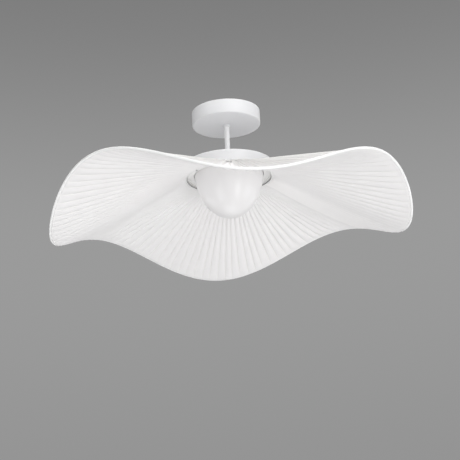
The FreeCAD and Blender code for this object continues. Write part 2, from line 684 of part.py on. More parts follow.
def all_pieces():
    """Every node's name with its solids."""
    pieces = {
        "ceiling_bracket": ceiling_bracket(),
        "terminal_block": terminal_block(),
        "terminal_screws": terminal_screws(),
        "terminal_fixing_screw": terminal_fixing_screw(),
        "earth_screw": earth_screw(),
        "rod": rod(),
        "hanger_nut": hanger_nut(),
        "pan_nut": pan_nut(),
        "rod_washers": rod_washers(),
        "canopy": canopy(),
        "canopy_collar": canopy_collar(),
        "collar_grub_screw": collar_grub_screw(),
        "pan": pan(),
        "lamp_plate": lamp_plate(),
        "plate_screws": plate_screws(),
        "holder_screws": holder_screws(),
        "clip_rivets": clip_rivets(),
        "glass_dome": glass_dome(),
        "dome_gasket": dome_gasket(),
        "dust_lip": dust_lip(),
        "frame_ring": frame_ring(),
        "trim_ring": trim_ring(),
        "trim_screws": trim_screws(),
        "rim_hoop": rim_hoop(),
        "rim_binding": rim_binding(),
        "pleated_shade": pleated_shade(),
    }
    for i in range(LAMP_COUNT):
        angle = LAMP_START_ANGLE + 360.0 * i / LAMP_COUNT
        pieces[f"lampholder_{i + 1}"] = turned(lampholder(), angle)
        pieces[f"bulb_{i + 1}"] = turned(bulb(), angle)
        pieces[f"bulb_pins_{i + 1}"] = [turned(pin, angle) for pin in bulb_pins()]
        pieces[f"glass_clip_{i + 1}"] = turned(glass_clip(), clip_angle() + 360.0 * i / LAMP_COUNT)
    for i in range(SPOKE_COUNT):
        pieces[f"spoke_{i + 1}"] = spoke(i)
    return pieces


def main():
    os.makedirs("parts", exist_ok=True)
    for name, shape in all_pieces().items():
        if isinstance(shape, list):
            shape = Part.makeCompound(shape)
        faults = [s for s in shape.Solids if not s.isValid() or s.Volume <= 0]
        print(f"{name}: {len(shape.Solids)} solids, {shape.Volume / 1000:.2f} cm3, {len(faults)} faults")
        shape.exportStep(f"parts/{name}.step")


main()
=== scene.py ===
"""Looks of the ceiling light with a waved, pleated fabric shade, in the frame of its CAD model.

Sizes of the part are in millimetres, as in the part's source, and become metres when a mesh is made.
Lights and the fine relief of the finishes are in metres.
"""
import json
import math
from collections import namedtuple

import bmesh
import bpy
import numpy as np
from mathutils import Matrix, Vector


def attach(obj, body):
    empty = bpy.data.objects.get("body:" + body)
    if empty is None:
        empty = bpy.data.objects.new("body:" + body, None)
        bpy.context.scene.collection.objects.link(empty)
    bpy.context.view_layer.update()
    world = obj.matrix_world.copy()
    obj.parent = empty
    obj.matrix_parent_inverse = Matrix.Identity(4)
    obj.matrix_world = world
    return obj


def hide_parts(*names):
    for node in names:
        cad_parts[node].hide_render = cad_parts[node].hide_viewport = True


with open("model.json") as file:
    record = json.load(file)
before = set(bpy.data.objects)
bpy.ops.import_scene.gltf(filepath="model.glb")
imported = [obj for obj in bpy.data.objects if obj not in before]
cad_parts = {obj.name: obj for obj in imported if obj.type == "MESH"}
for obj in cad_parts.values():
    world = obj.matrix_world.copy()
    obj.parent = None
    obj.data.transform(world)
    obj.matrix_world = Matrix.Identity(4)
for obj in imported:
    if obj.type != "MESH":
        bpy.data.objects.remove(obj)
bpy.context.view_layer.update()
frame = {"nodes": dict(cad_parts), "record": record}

MM = 0.001
TURN = 2 * np.pi
chance = np.random.default_rng(27)

# Canopy, rod and pan
CANOPY_RADIUS, CANOPY_HEIGHT, CANOPY_WALL, CANOPY_HOLE = 60.0, 25.0, 1.2, 4.8
# The rod's last size is the radius inside which its coat is painted whiter, as painted light.
ROD_RADIUS, THREAD_RADIUS, ROD_BORE, ROD_PAINTED_LIGHT_RADIUS = 4.5, 4.0, 2.75, 4.7
ROD_ENDS, THREAD_ENDS = (-97.3, -11.2), (-107.4, -2.25)
THREAD_PITCH, THREAD_DEPTH = 1.25, 0.55
PAN_RADIUS, PAN_TOP, PAN_BOTTOM, PAN_WALL, PAN_HOLE, PAN_MOUTH = 77.0, -98.5, -118.2, 1.2, 4.1, 66.0

# Glass dome and its seal, soft lip round it, trim ring with the radius and height of the shade painted in its
# bore, and bulbs
DOME_RADIUS, DOME_WALL, DOME_TOP, DOME_EQUATOR, DOME_DEPTH = 60.0, 2.5, -101.7, -110.0, 85.0
SEAL_OUTER, SEAL_TOP = 60.4, -99.7
LIP_INNER, LIP_OUTER, LIP_THICKNESS, LIP_EDGE = 60.5, 72.2, 0.8, -122.5
TRIM_INNER, TRIM_TOP, TRIM_BOTTOM = 73.4, -122.7, -124.7
SHADE_BAND_RADIUS, SHADE_BAND_HEIGHT = 73.65, -123.7
BULB_JOIN = -129.25

# Frame and rim of the shade, and the count, height and crest angle in degrees of the rim's waves
HOOP_RADIUS, RIM_MIDDLE, FRAME_MIDDLE, TAPE_RADIUS = 305.0, -192.7, -119.2, 1.85
RIM_WAVES = [(4, 30.8, 50.8), (1, 5.8, -71.0), (2, 4.1, 39.4), (3, 1.1, 4.2), (6, 1.1, 30.1)]

# Cloth, with places along it as shares of the way from hub to rim
CLOTH_HUB, CLOTH_RIM, CLOTH_THICKNESS, STRIP_WIDTH = (76.5, -122.1), 303.5, 0.5, 240.0
CLOTH_ROWS = [0, 0.003, 0.008, 0.015, 0.03, *np.linspace(0.06, 0.95, 19), 0.968, 0.98, 0.99, 1]
LAP_DEPTH, LAP_START, LAP_REACH = 2.3, 0.003, 0.05
PINCH_SHARE, PINCH_SPAN = 0.14, 0.02
FADE_START, FADE_SHARE = 0.85, 0.9
RIM_DROP, RIM_RISE = 3.1, 2.0

# Pleats: the first fold's angle is in degrees, drift and samples are shares of a pleat's width
PLEATS, FIRST_FOLD, FOLD_DRIFT = 120, 52.3, 0.1
PLEAT_SAMPLES = [0, 0.008, 0.02, 0.045, 0.1, 0.25, 0.5, 0.75, 0.9, 0.955, 0.98, 0.992]
FACET_DEPTH, FACET_SMOOTHING = 0.18, 0.85
FOLD_HEIGHT, FOLD_LOSS, FOLD_SWELL, FOLD_CHANCE, FOLD_POWER = 6, 4, 10, 0.08, 14
GROOVE_SHARE, GROOVE_GAIN, GROOVE_SMOOTHING, GROOVE_POWER = 0.14, 0.2, 0.8, 24

# Keels across the pleats: angle at hub and at rim, side faced, depth, reach before and after,
# height and place of the bulge beside it, and width of the smoothed cloth, with angles in degrees
Keel = namedtuple("Keel", "hub rim side depth before after bulge place smoothed")
KEELS = [
    Keel(hub=2.0, rim=8.0, side=1, depth=1.2, before=30.0, after=30.0,
         bulge=2.0, place=6.0, smoothed=12.0),
    Keel(hub=33.0, rim=36.0, side=1, depth=7.0, before=30.0, after=40.0,
         bulge=0.0, place=15.0, smoothed=4.0),
    Keel(hub=180.6, rim=150.0, side=-1, depth=5.0, before=10.0, after=10.0,
         bulge=2.5, place=15.0, smoothed=12.0),
]
BULGE_WIDTH = 10.0

# Band of painted light, in degrees: start past the first keel, way from there to full, and end past the
# second
LIGHT_BAND_START, LIGHT_BAND_SPAN, LIGHT_BAND_END = 2.0, 10.0, 0.5

# Steps of the turned pieces' meshes
ARC_STEPS, TURNED_STEPS, FLAT_SUPPORT = 6, 144, 0.1


# Meshes
def grid_faces(rows, columns, ring):
    """Quads of a grid whose columns join up, in a ring its rows too, with each corner's row and column."""
    r, c = np.meshgrid(np.arange(rows if ring else rows - 1), np.arange(columns), indexing="ij")
    corner_row = np.stack([r, r, r + 1, r + 1], -1).reshape(-1, 4)
    corner_column = np.stack([c, c + 1, c + 1, c], -1).reshape(-1, 4)
    return (corner_row % rows) * columns + corner_column % columns, corner_row, corner_column


def surface(name, points, ring=True, chart=None, marks=None):
    """Closed smooth mesh of a grid of points (row, column, xyz) in millimetres.

    The chart turns the corners' rows and columns into UV coordinates.
    The marks are named values of the points.
    """
    rows, columns, _ = points.shape
    quads, corner_row, corner_column = grid_faces(rows, columns, ring)
    mesh = bpy.data.meshes.new(name)
    mesh.from_pydata((points.reshape(-1, 3) * MM).tolist(), [], quads.tolist())
    if chart:
        layer = mesh.uv_layers.new(name="chart")
        places = np.stack(chart(corner_row, corner_column), -1)
        layer.data.foreach_set("uv", places.astype(np.float32).ravel())
    for key, values in (marks or {}).items():
        mark = mesh.attributes.new(key, "FLOAT", "POINT")
        mark.data.foreach_set("value", values.astype(np.float32).ravel())
    shell = bmesh.new()
    shell.from_mesh(mesh)
    bmesh.ops.remove_doubles(shell, verts=shell.verts, dist=1e-7)
    bmesh.ops.recalc_face_normals(shell, faces=shell.faces)
    shell.to_mesh(mesh)
    shell.free()
    mesh.shade_smooth()
    made = bpy.data.objects.new(name, mesh)
    bpy.context.scene.collection.objects.link(made)
    return made


def rounded(corners, support=FLAT_SUPPORT):
    """Closed outline of corners (radius, height, rounding) that become arcs.

    At a corner with half angle h, an arc of radius r starts r / tan h before it and turns about the point
    r / sin h along the bisector. A support point just before and after each arc keeps the flats flat.
    """
    corners, radii = np.split(np.array(corners, float), [2], axis=1)
    back, ahead = np.roll(corners, 1, 0) - corners, np.roll(corners, -1, 0) - corners
    back /= np.linalg.norm(back, axis=1, keepdims=True)
    ahead /= np.linalg.norm(ahead, axis=1, keepdims=True)
    half = np.arccos(np.clip((back * ahead).sum(1, keepdims=True), -1, 1)) / 2
    reach = radii / np.tan(half)
    bisector = (back + ahead) / np.linalg.norm(back + ahead, axis=1, keepdims=True)
    middle = corners + bisector * radii / np.sin(half)
    first, last = corners + back * reach - middle, corners + ahead * reach - middle
    sweep = (np.pi - 2 * half)[:, None]
    share = np.linspace(0, 1, ARC_STEPS + 1)[None, :, None]
    spokes = np.sin((1 - share) * sweep) * first[:, None] + np.sin(share * sweep) * last[:, None]
    arcs = spokes / np.sin(sweep) + middle[:, None]
    before, after = corners + back * (reach + support), corners + ahead * (reach + support)
    return np.concatenate([before[:, None], arcs, after[:, None]], 1).reshape(-1, 2)


def turned(outline):
    """Points of an outline (radius, height) turned about the lamp's axis.

    At the angle a, x = radius cos a, y = radius sin a and z = height.
    """
    angle = TURN * np.arange(TURNED_STEPS) / TURNED_STEPS
    radius, height = np.split(outline, 2, axis=1)
    return np.stack([radius * np.cos(angle), radius * np.sin(angle), height + 0 * angle], -1)


def canopy_cup():
    """Drawn cup turned from its wall outline, open at the ceiling, with a rounded lower edge."""
    low, inside, bore = -CANOPY_HEIGHT, CANOPY_WALL - CANOPY_HEIGHT, CANOPY_RADIUS - CANOPY_WALL
    corners = [(CANOPY_HOLE, low, 0.3), (CANOPY_RADIUS, low, 2.0), (CANOPY_RADIUS, 0, 0.4),
               (bore, 0, 0.4), (bore, inside, 0.8), (CANOPY_HOLE, inside, 0.3)]
    return surface("canopy_cup", turned(rounded(corners)))


def rod_tube():
    """Bored rod turned from its outline, with a thread cut into both ends.

    In the thread the radius falls by its depth times 0.5 - 0.5 cos(2 pi height / pitch - a) at the angle a.
    """
    sides, step, support = 64, 0.125, 1.0
    relief, tip, bore_edge, painted_gap_shade = 0.5, 0.6, 0.3, 0.25
    (low, high), (low_tip, high_tip) = ROD_ENDS, THREAD_ENDS
    low_rows = np.arange(low_tip + tip, low - relief, step)
    high_rows = np.arange(high + relief, high_tip - tip, step)
    low_thread = np.stack([np.full_like(low_rows, THREAD_RADIUS), low_rows], 1)
    high_thread = np.stack([np.full_like(high_rows, THREAD_RADIUS), high_rows], 1)
    low_shoulder = [(THREAD_RADIUS, low), (ROD_RADIUS - painted_gap_shade, low), (ROD_RADIUS, low + painted_gap_shade),
                    (ROD_RADIUS, low + support)]
    high_shoulder = [(r, low + high - z) for r, z in reversed(low_shoulder)]
    low_face = [(ROD_BORE, low_tip + bore_edge), (ROD_BORE + bore_edge, low_tip),
                (THREAD_RADIUS - tip, low_tip)]
    high_face = [(r, low_tip + high_tip - z) for r, z in reversed(low_face)]
    stretches = [low_face, low_thread, low_shoulder, high_shoulder, high_thread, high_face]
    is_cut = [0, 1, 0, 0, 1, 0]
    radius, height = np.split(np.concatenate(stretches), 2, axis=1)
    cut = np.repeat(is_cut, [len(stretch) for stretch in stretches])[:, None]
    angle = TURN * np.arange(sides) / sides
    groove = 0.5 - 0.5 * np.cos(TURN * height / THREAD_PITCH - angle)
    radius = radius - THREAD_DEPTH * cut * groove
    points = np.stack([radius * np.cos(angle), radius * np.sin(angle), height + 0 * angle], -1)
    return surface("rod_tube", points)


def pan_dish():
    """Inverted dish turned from its wall outline, with a rounded upper edge and a flange turned in below."""
    ceiling, floor, bore = PAN_TOP - PAN_WALL, PAN_BOTTOM + PAN_WALL, PAN_RADIUS - PAN_WALL
    corners = [(PAN_HOLE, PAN_TOP, 0.3), (PAN_HOLE, ceiling, 0.3), (bore, ceiling, 0.8), (bore, floor, 0.6),
               (PAN_MOUTH, floor, 0.4), (PAN_MOUTH, PAN_BOTTOM, 0.4), (PAN_RADIUS, PAN_BOTTOM, 0.8),
               (PAN_RADIUS, PAN_TOP, 2.0)]
    return surface("pan_dish", turned(rounded(corners)))


def opal_dome():
    """Blown glass: a straight neck over half an ellipsoid, inside and out.

    The ellipsoid has r = radius sin t and z = equator - depth cos t, and the neck's top is half a circle.
    """
    bowl_rows, neck_rows, edge_rows = 49, 8, 13
    t = np.linspace(0, np.pi / 2, bowl_rows)
    inner_radius, inner_depth = DOME_RADIUS - DOME_WALL, DOME_DEPTH - DOME_WALL
    outer = np.stack([DOME_RADIUS * np.sin(t), DOME_EQUATOR - DOME_DEPTH * np.cos(t)], 1)
    inner = np.stack([inner_radius * np.sin(t), DOME_EQUATOR - inner_depth * np.cos(t)], 1)
    middle, half = DOME_RADIUS - DOME_WALL / 2, DOME_WALL / 2
    neck = np.linspace(DOME_EQUATOR, DOME_TOP - half, neck_rows)[1:]
    turn = np.linspace(0, np.pi, edge_rows)[1:-1]
    painted_gap_shade = np.stack([middle + half * np.cos(turn), DOME_TOP - half + half * np.sin(turn)], 1)
    up = np.stack([np.full_like(neck, DOME_RADIUS), neck], 1)
    down = np.stack([np.full_like(neck, inner_radius), neck], 1)[::-1]
    return surface("opal_dome", turned(np.concatenate([outer, up, painted_gap_shade, down, inner[::-1]])), ring=False)


def dome_seal():
    """Soft ring between glass and pan, turned from a rectangle with well rounded corners."""
    inner, rounding = DOME_RADIUS - DOME_WALL, 0.7
    corners = [(inner, DOME_TOP, rounding), (SEAL_OUTER, DOME_TOP, rounding),
               (SEAL_OUTER, SEAL_TOP, rounding), (inner, SEAL_TOP, rounding)]
    return surface("dome_seal", turned(rounded(corners)))


def soft_lip():
    """Thin soft ring under the pan's flange, turned from its outline, with its outer edge turned down."""
    low, inside = PAN_BOTTOM - LIP_THICKNESS, LIP_OUTER - LIP_THICKNESS
    corners = [(LIP_INNER, low, 0.35), (inside, low, 0.6), (inside, LIP_EDGE, 0.3),
               (LIP_OUTER, LIP_EDGE, 0.3), (LIP_OUTER, PAN_BOTTOM, 0.1), (LIP_INNER, PAN_BOTTOM, 0.35)]
    return surface("soft_lip", turned(rounded(corners, support=FLAT_SUPPORT / 2)))


def trim_band():
    """Flat ring under the shade's inner edge, turned from a rectangle with broken corners."""
    rounding = 0.35
    corners = [(TRIM_INNER, TRIM_BOTTOM, rounding), (PAN_RADIUS, TRIM_BOTTOM, rounding),
               (PAN_RADIUS, TRIM_TOP, rounding), (TRIM_INNER, TRIM_TOP, rounding)]
    return surface("trim_band", turned(rounded(corners)))


# Shade
def rim_height(angle):
    """Height of the hoop: its middle height and its waves, each height x cos(count x (angle - crest))."""
    waves = [height * np.cos(count * (angle - math.radians(crest))) for count, height, crest in RIM_WAVES]
    return RIM_MIDDLE + sum(waves)


def pleat_angles():
    """Angles of the samples across all pleats, their pleats' numbers and their shares of a pleat.

    The folds stand evenly round the hub, each moved by up to a tenth of a pleat. Samples are closer at them.
    """
    share = np.array(PLEAT_SAMPLES)
    number = np.arange(PLEATS)
    folds = math.radians(FIRST_FOLD) + TURN * (number + FOLD_DRIFT * chance.uniform(-1, 1, PLEATS)) / PLEATS
    widths = np.diff(np.append(folds, folds[0] + TURN))
    angle = (folds[:, None] + widths[:, None] * share).ravel()
    return angle, np.repeat(number, len(share)), np.tile(share, PLEATS)


def keel_relief(angle, out):
    """Sag of the cloth at its keels, the share of its pleats that is smoothed away, and the band of painted
    light.

    At x degrees past a keel of depth d and bulge b the cloth sags by 4 s (1 - s) times
    d exp(-|x| / w) - b exp(-((x - p) / bulge width)^2), with s the share of the way out, w the keel's reach
    on that side and p the bulge's place. Its pleats are smoothed there by exp(-(x / smoothed width)^2).
    Between the first two keels the pleats are pressed flat in a band that is painted paler, as painted light.
    """
    sag, smooth, beyond = 0, 0, []
    for keel in KEELS:
        past = np.degrees(angle) - keel.hub - (keel.rim - keel.hub) * out
        past = keel.side * ((past + 180) % 360 - 180)
        sag = sag + keel.depth * np.exp(-np.abs(past) / np.where(past < 0, keel.before, keel.after))
        sag = sag - keel.bulge * np.exp(-((past - keel.place) / BULGE_WIDTH) ** 2)
        smooth = np.maximum(smooth, np.exp(-(past / keel.smoothed) ** 2))
        beyond.append(past)
    # The band between the first two keels, pressed flat and painted paler as painted light.
    painted_light_band = np.clip((beyond[0] - LIGHT_BAND_START) / LIGHT_BAND_SPAN, 0, 1) * np.clip(LIGHT_BAND_END - beyond[1], 0, 1)
    return sag * 4 * out * (1 - out), np.maximum(smooth, painted_light_band), painted_light_band


def pleated_cloth():
    """One pleated strip from under the pan to the bound rim, as a thin closed sheet.

    The pleats run straight from hub to rim, s being the share of the way out and t the share of a pleat.
    Each has two facets, deep by a share of its width times 1 - |2 t - 1|. Its folds stand up by
    h |2 t - 1|^14, with h = 6 - 4 s + 10 s (1 - s), and are pressed shut, so that from below they are grooves
    of a share of h times |2 t - 1|^24. All this is pinched at the hub, where the cloth laps round the trim
    ring, and fades before the rim, where the cloth rises to lie flush with the tape.
    """
    angle, pleat, share = pleat_angles()
    out = np.array(CLOTH_ROWS)[:, None]
    radius = CLOTH_HUB[0] + out * (CLOTH_RIM - CLOTH_HUB[0])
    sag, smooth, painted_light_band = keel_relief(angle, out)
    lap = LAP_DEPTH * np.clip(out / LAP_START, 0, 1) * np.exp(-(out / LAP_REACH) ** 2)
    rise = np.clip((out - FADE_START) / (1 - FADE_START), 0, 1) ** 2
    opened = PINCH_SHARE + (1 - PINCH_SHARE) * np.clip((out - LAP_START) / PINCH_SPAN, 0, 1)
    pinch = opened * (1 - FADE_SHARE * rise)
    fold = np.abs(2 * share - 1)
    facet = FACET_DEPTH * radius * TURN / PLEATS * (1 - fold) * pinch * (1 - FACET_SMOOTHING * smooth)
    plain = CLOTH_HUB[1] + out * (rim_height(angle) - RIM_DROP - CLOTH_HUB[1])
    middle = plain + RIM_RISE * rise - lap - facet - sag
    uneven = 1 + FOLD_CHANCE * chance.uniform(-1, 1, PLEATS)
    stand = (FOLD_HEIGHT - FOLD_LOSS * out + FOLD_SWELL * out * (1 - out)) * pinch * uneven[pleat]
    groove = (GROOVE_SHARE + GROOVE_GAIN * out) * stand * (1 - GROOVE_SMOOTHING * smooth)
    half = CLOTH_THICKNESS / 2

    def face(height):
        return np.stack([radius * np.cos(angle), radius * np.sin(angle), height], -1)

    underside = face(middle + groove * fold ** GROOVE_POWER - half)
    upper_side = face(middle + stand * fold ** FOLD_POWER + half)
    points = np.concatenate([underside, upper_side[::-1]])
    rows = len(out)

    def chart(row, column):
        along = np.append(angle, angle[0] + TURN)[column] * CLOTH_RIM * MM
        across = np.where(row < rows, row, 2 * rows - 1 - row) / (rows - 1) * STRIP_WIDTH * MM
        return along, across

    # Marks for the cloth's painted light: nearness to the folds and the band between the first two keels.
    marks = {"fold": np.broadcast_to(fold, points.shape[:2]),
             "painted_light_band": np.concatenate([painted_light_band, painted_light_band[::-1]])}
    return surface("pleated_cloth", points, chart=chart, marks=marks)


def rim_frame(angle):
    """Points of the hoop, the way along the shade to the hub square to the hoop, and the upward normal."""
    step = 1e-3

    def ring(radius, a, height):
        return np.stack([radius * np.cos(a), radius * np.sin(a), height + 0 * a], -1)

    def hoop(a):
        return ring(HOOP_RADIUS, a, rim_height(a))

    def unit(v):
        return v / np.linalg.norm(v, axis=-1, keepdims=True)

    point = hoop(angle)
    along = unit(hoop(angle + step) - hoop(angle - step))
    hub = ring(PAN_RADIUS, angle, FRAME_MIDDLE) - point
    inward = unit(hub - along * (hub * along).sum(-1, keepdims=True))
    return point, inward, np.cross(inward, along)


def rim_tape():
    """Tape folded round the hoop, a circle carried along the hoop's path.

    The circle's radius wavers along the hoop by two sine waves of a few hundredths of a millimetre.
    The crests of the broader one lie now closer, now wider.
    """
    count, around = 960, 24
    angle = TURN * np.arange(count) / count
    point, inward, normal = rim_frame(angle)
    turn = (TURN * np.arange(around) / around - np.pi)[:, None]
    broad, broad_count, fine, fine_count, shift, shift_count = 0.04, 130, 0.03, 211, 2, 7
    waver = broad * np.sin(angle * broad_count + shift * np.sin(angle * shift_count))
    radius = TAPE_RADIUS + waver + fine * np.sin(angle * fine_count)
    points = point + (radius * np.cos(turn))[..., None] * inward + (radius * np.sin(turn))[..., None] * normal
    length = TURN * HOOP_RADIUS * MM
    return surface("rim_tape", points, chart=lambda row, column: (column / count * length, row / around))


# Materials
class NodeValue:
    """A value in a material's nodes. Arithmetic on it adds Math nodes, and node() adds any other kind."""

    def __init__(self, tree, socket=None):
        self.tree = tree
        self.socket = socket

    def node(self, kind, settings=None, inputs=None, output=0):
        made = self.tree.nodes.new("ShaderNode" + kind)
        for key, value in (settings or {}).items():
            setattr(made, key, value)
        for key, value in (inputs or {}).items():
            self.feed(made.inputs[key], value)
        return NodeValue(self.tree, made.outputs[output])

    def feed(self, socket, value):
        if isinstance(value, NodeValue):
            self.tree.links.new(value.socket, socket)
        else:
            socket.default_value = value

    def math(self, operation, *others):
        return self.node("Math", {"operation": operation}, dict(enumerate((self,) + others)))

    def __add__(self, other):
        return self.math("ADD", other)

    def __mul__(self, other):
        return self.math("MULTIPLY", other)

    def __sub__(self, other):
        return self.math("SUBTRACT", other)

    def __rsub__(self, other):
        return self.node("Math", {"operation": "SUBTRACT"}, {0: other, 1: self})

    def blend(self, low, high):
        """Colour from low to high as this value goes from 0 to 1. Inputs 6 and 7 and output 2 are colours."""
        return self.node("Mix", {"data_type": "RGBA"}, {0: self, 6: low, 7: high}, 2)

    def place(self):
        return self.node("TexCoord", output="Object")

    def part(self, vector, axis):
        """One of a vector's three parts, by its number."""
        return self.node("SeparateXYZ", inputs={0: vector}, output=axis)

    def mark(self, name):
        return self.node("Attribute", {"attribute_name": name}, output="Fac")

    def noise(self, scale, detail=2.0, stretch=(1, 1, 1)):
        where = self.node("Mapping", inputs={"Vector": self.place(), "Scale": stretch})
        return self.node("TexNoise", inputs={"Vector": where, "Scale": scale, "Detail": detail})

    def bump(self, height, distance, strength):
        return self.node("Bump", inputs={"Height": height, "Distance": distance, "Strength": strength})


def colour(red, green, blue):
    return (red, green, blue, 1.0)


def material(name, recipe, **constants):
    """Material with one Principled shader.

    The recipe gives what varies over the surface, the constants what doesn't.
    """
    made = bpy.data.materials.new(name)
    made.use_nodes = True
    shader = made.node_tree.nodes["Principled BSDF"]
    start = NodeValue(made.node_tree)
    for key, value in recipe(start).items():
        start.feed(shader.inputs[key], value)
    for key, value in constants.items():
        shader.inputs[key.replace("_", " ").title()].default_value = value
    return made


def about(value, middle, spread):
    """Roughness that goes once through its spread about a middle as a value goes from 0 to 1."""
    return value * spread + (middle - spread / 2)


def powder_coat(low, high, rough):
    """Satin powder coat: orange peel about 1.5 mm across and a faint drift of tone and gloss."""
    def recipe(start):
        drift = start.noise(scale=22)
        return {"Base Color": drift.blend(low, high), "Roughness": about(drift, rough, 0.12),
                "Normal": start.bump(start.noise(scale=650), distance=0.00006, strength=0.5)}
    return recipe


def plated(low, high, rough, stretch=(1, 1, 1)):
    """Plated or drawn metal: fine lines along one way and a cloudy tone."""
    def recipe(start):
        cloud, lines = start.noise(scale=90), start.noise(scale=1500, detail=1.0, stretch=stretch)
        return {"Base Color": cloud.blend(low, high),
                "Roughness": about(lines, 0, 0.16) + about(cloud, rough, 0.1),
                "Normal": start.bump(lines, distance=0.00002, strength=0.4)}
    return recipe


def moulded(low, high, rough, grain=1200):
    """Moulded or fired body: fine grain and a faint tone."""
    def recipe(start):
        drift = start.noise(scale=60)
        return {"Base Color": drift.blend(low, high), "Roughness": about(drift, rough, 0.1),
                "Normal": start.bump(start.noise(scale=grain), distance=0.00004, strength=0.5)}
    return recipe


def within(start, radius):
    """1 where the distance from the lamp's axis is under a radius, else 0."""
    flat = start.node("VectorMath", {"operation": "MULTIPLY"}, {0: start.place(), 1: (1, 1, 0)})
    away = start.node("VectorMath", {"operation": "LENGTH"}, {0: flat}, "Value")
    return away.math("LESS_THAN", radius * MM)


def above(start, height):
    """1 over a height, else 0."""
    return start.part(start.place(), 2).math("GREATER_THAN", height * MM)


def coat_with_painted_rod_light(start):
    """White powder coat with painted light: the rod, told apart by the distance from the axis, is painted
    whiter.
    """
    coat = powder_coat(colour(0.807, 0.811, 0.822), colour(0.845, 0.849, 0.86), rough=0.42)(start)
    # Painted light: the rod is whiter, for the light that the shade and canopy keep off it.
    coat["Base Color"] = within(start, ROD_PAINTED_LIGHT_RADIUS).blend(coat["Base Color"], colour(0.95, 0.95, 0.955))
    return coat


def coat_with_painted_gap_shade(start):
    """Powder coat with painted shade: dark along the lower edge of the ring's bore, told apart by place."""
    coat = powder_coat(colour(0.82, 0.815, 0.81), colour(0.86, 0.855, 0.85), rough=0.7)(start)
    painted_gap_shade = within(start, SHADE_BAND_RADIUS) * (1 - above(start, SHADE_BAND_HEIGHT))
    # Painted shade: the lower edge of the bore is painted nearly black for the shadow in the gap round the
    # opening.
    coat["Base Color"] = painted_gap_shade.blend(coat["Base Color"], colour(0.03, 0.028, 0.026))
    return coat


def opal(start):
    """Opal glass: soft clouds of tone, and the slow unevenness of a blown surface."""
    cloud = start.noise(scale=14, detail=3.0)
    return {"Base Color": cloud.blend(colour(0.845, 0.834, 0.836), colour(0.875, 0.864, 0.866)),
            "Roughness": about(cloud, 0.4, 0.08),
            "Normal": start.bump(start.noise(scale=28), distance=0.00012, strength=0.5)}


def bulb_skin(start):
    """White base above, frosted cover below, told apart by height."""
    base = above(start, BULB_JOIN)
    frost = start.noise(scale=500)
    return {"Base Color": base.blend(colour(0.86, 0.84, 0.78), colour(0.8, 0.8, 0.79)),
            "Roughness": base * -0.2 + about(frost, 0.55, 0.1),
            "Normal": start.bump(frost, distance=0.00003, strength=0.5)}


def weave(start, count):
    """Height of a plain weave with a count of threads per metre, and the chart's two parts.

    The threads go over and under each other: sin(2 pi count along) sin(2 pi count across).
    """
    chart = start.node("UVMap", {"uv_map": "chart"})
    along, across = start.part(chart, 0), start.part(chart, 1)
    return (along * (TURN * count)).math("SINE") * (across * (TURN * count)).math("SINE"), along, across


def pleated_fabric(start):
    """Off-white woven cloth with slubs along its threads and soft wrinkles.

    Painted light makes it paler inside the folds, for light shining through, and between the first two keels.
    """
    thread_count, slub_count = 900, 60
    threads, along, across = weave(start, thread_count)
    thread_map = start.node("CombineXYZ", inputs={0: along * thread_count, 1: across * slub_count})
    slub = start.node("TexNoise", inputs={"Vector": thread_map, "Scale": 1.0, "Detail": 2.0})
    cloud = start.noise(scale=30, detail=3.0)
    cloth = (slub * 0.6 + cloud * 0.4).blend(colour(0.836, 0.824, 0.824), colour(0.886, 0.874, 0.874))
    # Painted light: paler in the band between the first two keels.
    cloth = start.mark("painted_light_band").blend(cloth, colour(0.95, 0.936, 0.932))
    # Painted light: paler inside the folds, for light shining through them.
    cloth = start.mark("fold").math("POWER", FOLD_POWER).blend(cloth, colour(0.9, 0.89, 0.87))
    height = threads * 0.2 + slub * 0.25 + cloud * 0.5
    return {"Base Color": cloth, "Roughness": about(slub, 0.87, 0.1),
            "Normal": start.bump(height, distance=0.00012, strength=0.2)}


def binding_tape(start):
    """White tape: fine weave, and two rows of stitches, 4 mm from one to the next."""
    stitches_per_metre, stitch_share, row_width, rows = 250, 0.72, 0.012, (0.36, 0.47)
    threads, along, across = weave(start, count=1100)
    dash = (along * stitches_per_metre).math("FRACT").math("LESS_THAN", stitch_share)
    first, second = [(across - row).math("ABSOLUTE").math("LESS_THAN", row_width) for row in rows]
    stitch = dash * (first + second).math("MINIMUM", 1.0)
    cloud = start.noise(scale=60)
    cloth = cloud.blend(colour(0.94, 0.94, 0.937), colour(0.96, 0.96, 0.957))
    return {"Base Color": (stitch * 0.5).blend(cloth, colour(0.97, 0.97, 0.965)),
            "Roughness": about(cloud, 0.8, 0.1),
            "Normal": start.bump(stitch + threads * 0.15 + cloud * 0.2, distance=0.0002, strength=0.6)}


FINISHES = {}


def keep_finish(name, recipe, **constants):
    """Keep a material under its slot's name."""
    FINISHES[name] = material(name, recipe, **constants)


wire_coat = powder_coat(colour(0.81, 0.81, 0.8), colour(0.85, 0.85, 0.84), rough=0.45)
zinc = plated(colour(0.55, 0.56, 0.57), colour(0.68, 0.68, 0.66), rough=0.34, stretch=(1, 0.1, 1))
dark_steel = plated(colour(0.05, 0.05, 0.055), colour(0.09, 0.09, 0.095), rough=0.4)
rolled_steel = plated(colour(0.5, 0.5, 0.49), colour(0.6, 0.6, 0.58), rough=0.3, stretch=(1, 1, 0.08))
brass = plated(colour(0.68, 0.5, 0.22), colour(0.8, 0.62, 0.32), rough=0.3)
drawn_pin = plated(colour(0.6, 0.59, 0.56), colour(0.72, 0.7, 0.66), rough=0.28, stretch=(1, 1, 0.1))
block_plastic = moulded(colour(0.78, 0.78, 0.75), colour(0.84, 0.84, 0.8), rough=0.5)
ceramic = moulded(colour(0.8, 0.78, 0.72), colour(0.87, 0.85, 0.79), rough=0.62, grain=2000)
soft_rubber = moulded(colour(0.89, 0.885, 0.875), colour(0.93, 0.925, 0.915), rough=0.55, grain=800)

